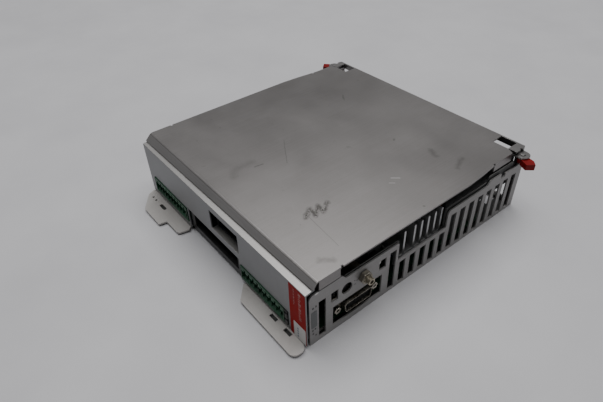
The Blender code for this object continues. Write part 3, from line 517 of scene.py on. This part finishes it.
def make_looks():
    """Every material of the drive, by the name its pieces ask for it with."""
    return {
        "cover": brushed_sheet(
            "cover_steel",
            dark=(0.240, 0.227, 0.221),
            light=(0.275, 0.264, 0.259),
            rough=0.42,
            along="y",
            contrast=0.25,
            extra=cover_marks_and_lip_highlight,
        ),
        "steel": brushed_sheet(
            "wall_steel",
            dark=(0.235, 0.226, 0.222),
            light=(0.30, 0.29, 0.285),
            rough=0.42,
            along="y",
            contrast=0.35,
        ),
        "chassis": brushed_sheet(
            "chassis_steel",
            dark=(0.26, 0.252, 0.247),
            light=(0.345, 0.335, 0.33),
            rough=0.5,
            along="y",
            contrast=0.4,
            extra=wall_lining_and_corner_highlight,
        ),
        "zinc": brushed_sheet(
            "bracket_zinc",
            dark=(0.38, 0.361, 0.346),
            light=(0.49, 0.475, 0.457),
            rough=0.55,
            stains=0.25,
            metallic=0.6,
        ),
        "panel_grey": brushed_sheet(
            "panel_sheet",
            dark=(0.225, 0.227, 0.229),
            light=(0.262, 0.264, 0.267),
            rough=0.46,
            stains=0,
            bump=0.1,
            extra=strip_painted_highlight,
        ),
        "black_film": plastic("black_film", (0.017, 0.018, 0.017), 0.5, 1200.0, 0.3, 0.10),
        "edge_film": edge_film("edge_film"),
        "socket_black": plastic("socket_black", (0.004, 0.004, 0.0045), 0.7, dust=0.02, shine=0.2),
        # header_light is the header's green plastic made lighter for the pads: a painted highlight for the
        # light they catch.
        "header_light": plastic("header_light", (0.028, 0.105, 0.056), 0.5, vary=0.25, dust=0.25),
        "black_plastic": plastic("black_plastic", (0.012, 0.012, 0.013), 0.42),
        "fan_plastic": plastic("fan_plastic", (0.018, 0.018, 0.019), 0.5, dust=0.3),
        "board_green": board("board_green", (0.008, 0.04, 0.018)),
        "header_green": plastic("header_green", (0.006, 0.052, 0.022), 0.42, vary=0.35, dust=0.08),
        "aluminium": brushed_sheet(
            "fin_aluminium", dark=(0.42, 0.42, 0.42), light=(0.60, 0.60, 0.60), rough=0.42, stains=0
        ),
        "nickel": plated("nickel_plate", (0.34, 0.31, 0.26), (0.56, 0.52, 0.45)),
        "capacitor_blue": plastic("capacitor_sleeve", (0.015, 0.028, 0.09), 0.3, vary=0.2),
        "copper": plated("winding_copper", (0.42, 0.16, 0.07), (0.62, 0.29, 0.14), 0.34),
        "core_yellow": plastic("winding_tape", (0.52, 0.38, 0.05), 0.45, vary=0.2),
        "lever_red": plastic("lever_red", (0.20, 0.004, 0.004), 0.5, vary=0.25, dust=0.0, shine=0.2),
        "white_plastic": plastic("white_plastic", (0.66, 0.66, 0.63), 0.4, vary=0.08, dust=0.1),
        "ceramic": plastic("fuse_ceramic", (0.58, 0.56, 0.50), 0.3, vary=0.1),
        "label_red": plastic("label_red", (0.27, 0.005, 0.004), 0.55, 900.0, 0.12, 0.0, shine=0.1),
        "label_ink": plastic("label_ink", (0.30, 0.09, 0.08), 0.5, 900.0, 0.15, 0.02),
        "sticker_white": plastic("sticker_white", (0.52, 0.51, 0.49), 0.5, 700.0, 0.06, 0.1),
        "sticker_grey": plastic("sticker_grey", (0.125, 0.13, 0.13), 0.5, 700.0, 0.1, 0.1),
        "ink_blue": plastic("ink_blue", (0.10, 0.14, 0.20), 0.5, 700.0, 0.2, 0.1),
        "ink_dark": plastic("ink_dark", (0.05, 0.05, 0.052), 0.5, 700.0, 0.2, 0.1),
        "lid_aluminium": plated("lid_aluminium", (0.50, 0.50, 0.50), (0.66, 0.66, 0.66), 0.36),
        "ferrite": plastic("ferrite", (0.035, 0.034, 0.034), 0.5, 1500.0),
        "resistor_tan": plastic("resistor_tan", (0.34, 0.24, 0.13), 0.45, vary=0.2),
        "port_beige": plated("port_beige", (0.36, 0.32, 0.24), (0.55, 0.50, 0.40), 0.34),
        "nut_olive": plated("nut_olive", (0.20, 0.185, 0.15), (0.36, 0.33, 0.28), 0.42),
    }


def dress_nodes(looks):
    """Every carried-over CAD node gets the material of its record slot, or a closer one."""
    slots = {part["node"]: part["material_slot"] for part in frame["record"]["subparts"]}
    closer = {
        "top_cover": "cover",
        "chassis": "chassis",
        "fan_frame": "fan_plastic",
        "fan_rotor": "fan_plastic",
        "edge_insulation": "edge_film",
        "dsub_insert": "socket_black",
        "latch_pin_left": "steel",
        "latch_pin_right": "steel",
        "port_body": "port_beige",
        "port_nut": "nut_olive",
    }
    for name, obj in NODES.items():
        material = looks[closer.get(name, slots[name])]
        obj.data.materials.clear()
        obj.data.materials.append(material)


def soften(name, width):
    """Rounds a CAD node's sharp edges: weld the split corners, merge flat faces, then bevel."""
    obj = NODES[name]
    weld = obj.modifiers.new("weld", "WELD")
    weld.merge_threshold = 0.00001
    flat = obj.modifiers.new("flat", "DECIMATE")
    flat.decimate_type = "DISSOLVE"
    flat.angle_limit = math.radians(0.5)
    add_bevel(obj, width)


# ---------------------------------------------------------------- shapes


def axis_point(axis, u, v, w):
    """A point whose place along `axis` is w, and whose other two coordinates are u and v in XYZ order."""
    return {"X": (w, u, v), "Y": (u, w, v), "Z": (u, v, w)}[axis]


def prism(axis, low, high, outline, holes=()):
    """A flat plate: `outline` with `holes`, drawn across `axis` and filling it from low to high."""
    mesh = bmesh.new()
    loops = [list(outline), *[list(hole) for hole in holes]]
    flat = [point for loop in loops for point in loop]
    bottom = [mesh.verts.new(axis_point(axis, u, v, low)) for u, v in flat]
    top = [mesh.verts.new(axis_point(axis, u, v, high)) for u, v in flat]
    if holes:
        for triangle in tessellate_polygon([[Vector((u, v, 0)) for u, v in loop] for loop in loops]):
            mesh.faces.new([bottom[i] for i in triangle])
            mesh.faces.new([top[i] for i in reversed(triangle)])
    else:
        mesh.faces.new(bottom)
        mesh.faces.new(list(reversed(top)))
    start = 0
    for loop in loops:
        count = len(loop)
        for i in range(count):
            a, b = start + i, start + (i + 1) % count
            mesh.faces.new((bottom[a], bottom[b], top[b], top[a]))
        start += count
    bmesh.ops.recalc_face_normals(mesh, faces=mesh.faces)
    return mesh


def rectangle(u0, v0, u1, v1):
    """The outline of a rectangle from its lowest to its highest corner."""
    return [(u0, v0), (u1, v0), (u1, v1), (u0, v1)]


def circle(u, v, radius, sides):
    """The outline of a circle about (u, v)."""
    turns = [2 * math.pi * i / sides for i in range(sides)]
    return [(u + radius * math.cos(t), v + radius * math.sin(t)) for t in turns]


def rounded_rectangle(u0, v0, u1, v1, radius, steps=4):
    """The outline of a rectangle whose corners are arcs of `steps` chords."""
    outline = []
    for u, v, first in (
        (u1 - radius, v1 - radius, 0),
        (u0 + radius, v1 - radius, 1),
        (u0 + radius, v0 + radius, 2),
        (u1 - radius, v0 + radius, 3),
    ):
        for step in range(steps + 1):
            turn = (first + step / steps) * math.pi / 2
            outline.append((u + radius * math.cos(turn), v + radius * math.sin(turn)))
    return outline


def block(low, high):
    """A box from its lowest to its highest corner, to be combined or bevelled into a piece."""
    return prism("Z", low[2], high[2], rectangle(low[0], low[1], high[0], high[1]))


def turned(axis, centre, profile, sides=40):
    """A turned solid: `profile` is a list of (place along axis, radius), closed at both ends."""
    mesh = bmesh.new()
    rings = []
    for place, radius in profile:
        outline = circle(*centre, radius, sides)
        rings.append([mesh.verts.new(axis_point(axis, u, v, place)) for u, v in outline])
    for lower, upper in zip(rings, rings[1:]):
        for i in range(sides):
            j = (i + 1) % sides
            mesh.faces.new((lower[i], lower[j], upper[j], upper[i]))
    mesh.faces.new(rings[0])
    mesh.faces.new(rings[-1])
    bmesh.ops.recalc_face_normals(mesh, faces=mesh.faces)
    return mesh


def merged(meshes):
    """Several meshes in one, side by side."""
    whole = bmesh.new()
    for mesh in meshes:
        data = bpy.data.meshes.new("merged")
        mesh.to_mesh(data)
        mesh.free()
        whole.from_mesh(data)
        bpy.data.meshes.remove(data)
    return whole


def carved(body, *steps):
    """Boolean steps, each ("UNION" or "DIFFERENCE", mesh), applied to `body` one after another."""
    made = []
    for mesh in [body] + [mesh for _, mesh in steps]:
        data = bpy.data.meshes.new("carved")
        mesh.to_mesh(data)
        mesh.free()
        obj = bpy.data.objects.new("carved", data)
        bpy.context.scene.collection.objects.link(obj)
        made.append(obj)
    for (operation, _), cutter in zip(steps, made[1:]):
        boolean = made[0].modifiers.new("step", "BOOLEAN")
        boolean.operation = operation
        boolean.solver = "EXACT"
        boolean.object = cutter
    bpy.context.view_layer.update()
    evaluated = made[0].evaluated_get(bpy.context.evaluated_depsgraph_get())
    result = bmesh.new()
    result.from_mesh(evaluated.to_mesh())
    evaluated.to_mesh_clear()
    for obj in made:
        data = obj.data
        bpy.data.objects.remove(obj)
        bpy.data.meshes.remove(data)
    bmesh.ops.dissolve_limit(result, angle_limit=0.01, verts=result.verts, edges=result.edges)
    return result


def piece(name, mesh, look, body="drive", bevel=0.0, replaces=()):
    """A finished piece: `mesh` in drive millimetres, placed, rounded, painted and riding on `body`."""
    bmesh.ops.transform(mesh, matrix=Matrix.Translation(-ORIGIN), verts=mesh.verts)
    bmesh.ops.scale(mesh, vec=(0.001, 0.001, 0.001), verts=mesh.verts)
    data = bpy.data.meshes.new(name)
    mesh.to_mesh(data)
    mesh.free()
    obj = bpy.data.objects.new(name, data)
    bpy.context.scene.collection.objects.link(obj)
    data.materials.append(looks[look])
    data.shade_smooth()
    data.set_sharp_from_angle(angle=math.radians(SHARP_ANGLE))
    if bevel:
        add_bevel(obj, bevel)
    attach(obj, body)
    if replaces:
        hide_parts(*replaces)


def add_bevel(obj, width):
    """Rounds an object's sharp edges by `width` millimetres."""
    bevel = obj.modifiers.new("bevel", "BEVEL")
    bevel.width = width / 1000
    bevel.segments = 2
    bevel.limit_method = "ANGLE"
    bevel.angle_limit = math.radians(BEVEL_ANGLE)
    bevel.harden_normals = True
    bevel.use_clamp_overlap = True


# ---------------------------------------------------------------- fine pieces


def make_labels():
    """The panel's red end strip, the white sticker on it and the wall's grey one: no wording."""
    face = FRONT_FACE
    strip = block((199.7, face - 0.22, 3.5), (215.5, face - 0.02, 50.4))
    piece("front_label", strip, "label_red", bevel=0.08)
    dice = random.Random(4)
    bars = []
    for x, z, top, gap, heights, widths in (
        (209.0, 24.0, 47.0, 0.8, (0.9, 1.4, 2.2), (1.6, 2.4)),
        (204.1, 34.5, 49.0, 0.7, (0.6, 0.9, 1.6), (0.7, 1.1)),
    ):
        while z < top:
            tall = dice.choice(heights)
            wide = dice.choice(widths)
            bars.append(block((x, face - 0.27, z), (x + wide, face - 0.2, z + tall)))
            z += tall + gap
    piece("front_label_bars", merged(bars), "label_ink")
    sticker = prism("Y", face - 0.42, face - 0.23, rounded_rectangle(203.3, 3.6, 215.2, 18.2, 0.6))
    piece("front_sticker", sticker, "sticker_white", bevel=0.06)
    marks = [block((207.0, face - 0.47, z), (208.2, face - 0.41, z + 1.5)) for z in (5.6, 8.2, 10.6, 13.0)]
    piece("front_sticker_marks", merged(marks), "ink_blue")
    wall = WALL_RIGHT
    plate = prism("X", wall + 0.02, wall + 0.17, rounded_rectangle(-3.9, 16.2, 0.6, 31.6, 0.4))
    piece("wall_sticker", plate, "sticker_grey", bevel=0.05)
    marks = []
    for y, z, wide, tall in (
        (-3.1, 34.2, 1.4, 1.5),
        (-0.5, 34.6, 1.0, 1.5),
        (-3.4, 13.0, 1.1, 1.5),
        (-1.4, 13.4, 1.2, 1.5),
        (-3.2, 9.6, 1.2, 1.5),
        (-0.9, 7.0, 1.0, 1.5),
        (31.4, 35.2, 1.0, 0.6),
        (33.4, 34.0, 1.0, 0.6),
        (31.8, 31.6, 1.0, 0.6),
    ):
        marks.append(block((wall + 0.02, y, z), (wall + 0.1, y + wide, z + tall)))
    piece("wall_marks", merged(marks), "ink_dark")


def make_header_detail(side, node, x0, poles, z0, z1):
    """A plug header: shroud with a sloping floor, ribs between the poles, pads on its lip, and pins."""
    x1 = x0 + poles * HEADER_PITCH
    middle = (z0 + z1) / 2
    pad_section = [(-9.15, z1 - 4.4), (-9.15, z1 - 1.0), (-5.0, z1 - 1.0), (-5.0, z1 - 3.0)]
    floor_section = [(-9.2, z0 + 1.0), (-9.2, z0 + 1.6), (-4.4, z0 + 4.6), (1.9, z0 + 4.6), (1.9, z0 + 1.0)]
    ribs, pads, pins = [], [], []
    for pole in range(poles):
        x = x0 + HEADER_PITCH * (pole + 0.5)
        if pole:
            edge = x - HEADER_PITCH / 2
            ribs.append(block((edge - 0.35, -8.6, z0 + 1.1), (edge + 0.35, 1.8, z0 + 5.6)))
        pads.append(prism("X", x - 1.7, x + 1.7, pad_section))
        pins.append(prism("Y", -6.2, 2.0, rectangle(x - 0.5, middle - 0.5, x + 0.5, middle + 0.5)))
    shell = carved(
        block((x0, -9.3, z0), (x1, 3.0, z1)),
        ("DIFFERENCE", block((x0 + 1.0, -12.0, z0 + 1.3), (x1 - 1.0, 1.6, z1 - 1.2))),
        ("UNION", prism("X", x0 + 0.7, x1 - 0.7, floor_section)),
        ("UNION", merged(ribs)),
    )
    piece(f"{side}_header_shroud", shell, "header_green", bevel=0.15, replaces=(node,))
    # The pads take the lighter copy of the green plastic as a painted highlight.
    piece(f"{side}_header_pads", merged(pads), "header_light", bevel=0.3)
    piece(f"{side}_header_pins", merged(pins), "nickel", bevel=0.18)


def cross_cutter(x, y, reach, half_width, low, high):
    """A cutter shaped like a plus sign, its arms as long as `reach`."""
    return carved(
        block((x - reach, y - half_width, low), (x + reach, y + half_width, high)),
        ("UNION", block((x - half_width, y - reach, low), (x + half_width, y + reach, high))),
    )


def make_bracket_screws():
    """The pan heads of the brackets' four screws, each with a cross recess."""
    seat = 3.3
    top = seat + 1.55
    profile = [(seat, 2.75), (seat + 0.5, 2.8), (seat + 0.9, 2.6), (seat + 1.3, 2.0), (top, 1.1)]
    for index, (x, y) in enumerate(((14.0, 1.0), (52.0, 1.0), (158.0, 1.0), (202.0, 1.0)), 1):
        recess = cross_cutter(x, y, 1.5, 0.32, top - 0.9, top + 2)
        head = carved(turned("Z", (x, y), profile), ("DIFFERENCE", recess))
        name = f"bracket_screw_head_{index}"
        piece(name, head, "nickel", bevel=0.08, replaces=(f"bracket_screw_{index}",))


def make_capacitor_lids():
    """Each capacitor's bare top, scored with a cross for the vent, inside its rolled sleeve."""
    top = 50.3
    profile = [(top - 0.1, 12.6), (top + 0.25, 12.6), (top + 0.5, 12.2), (top + 0.5, 3.0)]
    for index in range(4):
        x, y = 30.0 + 34.0 * index, 148.0
        score = cross_cutter(x, y, 9, 0.35, top + 0.2, top + 2)
        lid = carved(turned("Z", (x, y), profile), ("DIFFERENCE", score))
        piece(f"capacitor_lid_{index + 1}", lid, "lid_aluminium")


def tube_mesh(points, radius, sides=8, closed=False):
    """A round wire along `points`, in drive millimetres."""
    mesh = bmesh.new()
    rings = []
    count = len(points)
    reference = Vector((0, 0, 1))
    for i, point in enumerate(points):
        before = points[(i - 1) % count] if closed or i else point
        after = points[(i + 1) % count] if closed or i < count - 1 else point
        along = (Vector(after) - Vector(before)).normalized()
        side = along.cross(reference)
        if side.length <= 1e-3:
            side = along.cross(Vector((0, 1, 0)))
        side = side.normalized()
        reference = side.cross(along).normalized()
        ring = []
        for j in range(sides):
            turn = 2 * math.pi * j / sides
            outward = side * math.cos(turn) + reference * math.sin(turn)
            ring.append(mesh.verts.new(Vector(point) + outward * radius))
        rings.append(ring)
    spans = list(zip(rings, rings[1:])) + ([(rings[-1], rings[0])] if closed else [])
    for lower, upper in spans:
        for j in range(sides):
            k = (j + 1) % sides
            mesh.faces.new((lower[j], lower[k], upper[k], upper[j]))
    if not closed:
        mesh.faces.new(rings[0])
        mesh.faces.new(rings[-1])
    bmesh.ops.recalc_face_normals(mesh, faces=mesh.faces)
    return mesh


def make_choke():
    """The ring choke: a ferrite core with one layer of enamelled wire wound round it."""
    centre = Vector((186.0, 148.0, 26.3))
    ring, core, coil, turns = 13.5, 4.7, 5.35, 34
    corners, steps = 48, turns * 14
    outline = []
    for i in range(corners):
        turn = 2 * math.pi * i / corners
        outline.append(tuple(centre + Vector((math.cos(turn), 0, math.sin(turn))) * ring))
    torus = tube_mesh(outline, core, 16, closed=True)
    piece("choke_core", torus, "ferrite", replaces=("filter_choke",))
    wire = []
    for i in range(steps + 1):
        round_ring = math.radians(-70) + math.radians(320) * i / steps
        roll = 2 * math.pi * turns * i / steps
        reach = ring + coil * math.cos(roll)
        offset = Vector((reach * math.cos(round_ring), coil * math.sin(roll), reach * math.sin(round_ring)))
        wire.append(tuple(centre + offset))
    piece("choke_wire", tube_mesh(wire, 0.55, 6), "copper")


def make_transformer():
    """A laminated core round a taped winding on a flanged bobbin."""
    low, high = 6.3, 38.0
    x0, x1, y0, y1 = 20.0, 58.0, 172.0, 202.0
    core = carved(
        block((x0, y0 + 8.0, low), (x1, y1 - 8.0, high)),
        ("DIFFERENCE", block((x0 + 6.0, y0, low + 6.0), (x0 + 13.0, y1, high - 6.0))),
        ("DIFFERENCE", block((x1 - 13.0, y0, low + 6.0), (x1 - 6.0, y1, high - 6.0))),
    )
    piece("transformer_core", core, "ferrite", bevel=0.5, replaces=("transformer",))
    winding = rounded_rectangle(x0 + 6.6, y0 + 0.8, x1 - 6.6, y1 - 0.8, 5.0, 6)
    hole = rounded_rectangle(x0 + 12.7, y0 + 7.7, x1 - 12.7, y1 - 7.7, 0.5, 2)
    coil = prism("Z", low + 7.4, high - 7.4, winding, [hole])
    piece("transformer_winding", coil, "core_yellow", bevel=0.6)
    plan = rounded_rectangle(x0 + 6.2, y0, x1 - 6.2, y1, 1.5)
    for name, z in (("lower", low + 6.2), ("upper", high - 7.2)):
        flange = prism("Z", z, z + 1.0, plan, [hole])
        piece(f"bobbin_flange_{name}", flange, "black_plastic", bevel=0.2)


def make_fuse_caps():
    """The two metal end caps of the line fuse, bored through along their middle."""
    for name, low in (("left", 67.8), ("right", 93.6)):
        profile = [(low, 4.2), (low + 0.4, 5.25), (low + 6.2, 5.25), (low + 6.6, 5.05)]
        bore = turned("X", FUSE_CENTRE, [(60, 2.0), (110, 2.0)])
        cap = carved(turned("X", FUSE_CENTRE, profile), ("DIFFERENCE", bore))
        piece(f"fuse_cap_{name}", cap, "nickel", bevel=0.15)


def fan_blade(number, count, low, high):
    """One curved, twisted blade of `count`, from the hub's radius to the tip's."""
    y, z = FAN_CENTRE
    root, tip = 7.9, 18.2
    rows, columns = 6, 8
    mesh = bmesh.new()
    grid = []
    for i in range(rows + 1):
        radius = root + (tip - root) * i / rows
        spread = 0.62 - 0.26 * i / rows
        row = []
        for j in range(columns + 1):
            along = j / columns - 0.5
            place = low + 0.9 + (high - low - 1.9) * (j / columns)
            arch = 0.10 * (1 - 4 * along * along)
            turn = 2 * math.pi * number / count + spread * along + arch + 0.05 * i / rows
            row.append(mesh.verts.new((place, y + radius * math.cos(turn), z + radius * math.sin(turn))))
        grid.append(row)
    for i in range(rows):
        for j in range(columns):
            mesh.faces.new((grid[i][j], grid[i + 1][j], grid[i + 1][j + 1], grid[i][j + 1]))
    bmesh.ops.recalc_face_normals(mesh, faces=mesh.faces)
    bmesh.ops.solidify(mesh, geom=mesh.faces, thickness=0.7)
    return mesh


def make_rotor():
    """The fan's rotor: a round-edged hub with a plain badge, and seven curved, twisted blades."""
    low, high, count = 4.6, 15.6, 7
    hub = turned("X", FAN_CENTRE, [(low, 6.5), (low + 0.3, 7.8), (low + 1.2, 8.5), (high, 8.5)], 48)
    whole = merged([hub, *[fan_blade(number, count, low, high) for number in range(count)]])
    piece("fan_blades", whole, "fan_plastic", body="fan", replaces=("fan_rotor",))
    badge = turned("X", FAN_CENTRE, [(low - 0.12, 5.6), (low + 0.1, 5.6)])
    piece("fan_hub_badge", badge, "sticker_grey", body="fan")


def make_board_parts():
    """Small parts on both boards: chips with legs, resistors, round capacitors and tabbed transistors."""
    dice = random.Random(11)
    leg_pitch, chip_height = 1.6, 1.6
    chips, legs, tans, cans, sleeves = [], [], [], [], []

    def chip(x, y, z, wide, deep):
        chips.append(block((x, y, z + 0.3), (x + wide, y + deep, z + 0.3 + chip_height)))
        for i in range(max(2, int(wide / leg_pitch))):
            place = x + 0.8 + i * leg_pitch
            if place < x + wide - 0.3:
                for at in (y - 0.9, y + deep - 0.05):
                    legs.append(block((place - 0.25, at, z + 0.02), (place + 0.25, at + 0.95, z + 0.55)))

    def can(x, y, z, radius, tall):
        top = z + tall
        profile = [(z + 0.1, radius * 0.96), (z + 0.6, radius), (top - 0.4, radius), (top, radius - 0.4)]
        sleeves.append(turned("Z", (x, y), profile, 24))
        cans.append(turned("Z", (x, y), [(top - 0.1, radius - 0.6), (top + 0.15, radius - 0.7)], 24))

    control, power = CONTROL_BOARD_TOP, POWER_BOARD_TOP
    for x in range(20, 180, 22):
        for middle, widths, depths in ((22, (8, 11, 14), (6, 10)), (46, (6, 9), None)):
            left = x + dice.uniform(-2, 2)
            front = middle + dice.uniform(-2, 2)
            wide = dice.choice(widths)
            chip(left, front, control, wide, dice.choice(depths) if depths else 5)
    for _ in range(46):
        x, y = dice.uniform(12, 184), dice.uniform(36, 43)
        tans.append(block((x, y, control + 0.05), (x + 1.9, y + 1.1, control + 0.7)))
    for x in (60, 74, 160, 172):
        can(x, 62.5, control, 4.0, 11.0)
    for x, y, tall in ((68, 130, 16), (150, 180, 18), (196, 92, 14), (196, 106, 14), (15, 60, 14)):
        can(x, y, power, 5, tall)
    for x in (100, 112, 124, 136):
        chips.append(block((x, 192.0, power + 0.2), (x + 9.5, 196.5, power + 15.0)))
        legs.append(block((x + 1.0, 196.4, power + 5.0), (x + 8.5, 197.6, power + 18.5)))
    for _ in range(40):
        x, y = dice.uniform(64, 170), dice.uniform(165.5, 170.5)
        tans.append(block((x, y, power + 0.05), (x + 2.6, y + 1.3, power + 0.9)))
    piece("board_chips", merged(chips), "ferrite", bevel=0.12)
    piece("board_leads", merged(legs), "nickel")
    piece("board_resistors", merged(tans), "resistor_tan", bevel=0.1)
    piece("board_can_sleeves", merged(sleeves), "capacitor_blue")
    piece("board_can_tops", merged(cans), "lid_aluminium")


def make_port():
    """The threaded port: ridged neck, smooth barrel with a rim, and a pin in its bore."""
    y, z = 39.6, 35.0
    wall = WALL_RIGHT
    ridges, ridge_pitch = 15, 0.5
    profile = [(wall - 13.0, 4.0), (wall - 12.6, 4.2), (wall - 3.4, 4.2), (wall - 3.4, 2.5)]
    for ridge in range(ridges):
        place = wall - 3.2 + ridge_pitch * ridge
        profile += [(place, 2.6), (place + 0.25, 2.38)]
    profile += [(wall + 4.4, 2.6), (wall + 4.4, 2.75), (wall + 6.2, 2.75), (wall + 6.3, 2.5)]
    profile += [(wall + 6.7, 2.5), (wall + 6.8, 2.75), (wall + 7.5, 2.75), (wall + 7.8, 2.45)]
    foot = 26.9
    body = carved(
        turned("X", (y, z), profile),
        ("UNION", block((wall - 12.9, y - 4.0, foot), (wall - 3.6, y + 4.0, z))),
        ("DIFFERENCE", turned("X", (y, z), [(wall + 3.5, 1.6), (wall + 20.0, 1.6)])),
    )
    piece("port_barrel", body, "port_beige", bevel=0.06, replaces=("port_body",))
    pin = turned("X", (y, z), [(wall + 3.3, 0.5), (wall + 6.3, 0.5), (wall + 6.6, 0.3)], 20)
    piece("port_pin", pin, "nickel")


looks = make_looks()
make_camera()
make_stage()
dress_nodes(looks)
for node_name, width in ROUNDING.items():
    soften(node_name, width)
make_labels()
make_header_detail("left", "plug_header_left", 9.6, 11, 8.3, 22.3)
make_header_detail("right", "plug_header_right", 142.6, 10, 6.3, 19.6)
make_bracket_screws()
make_capacitor_lids()
make_choke()
make_transformer()
make_fuse_caps()
make_rotor()
make_board_parts()
make_port()
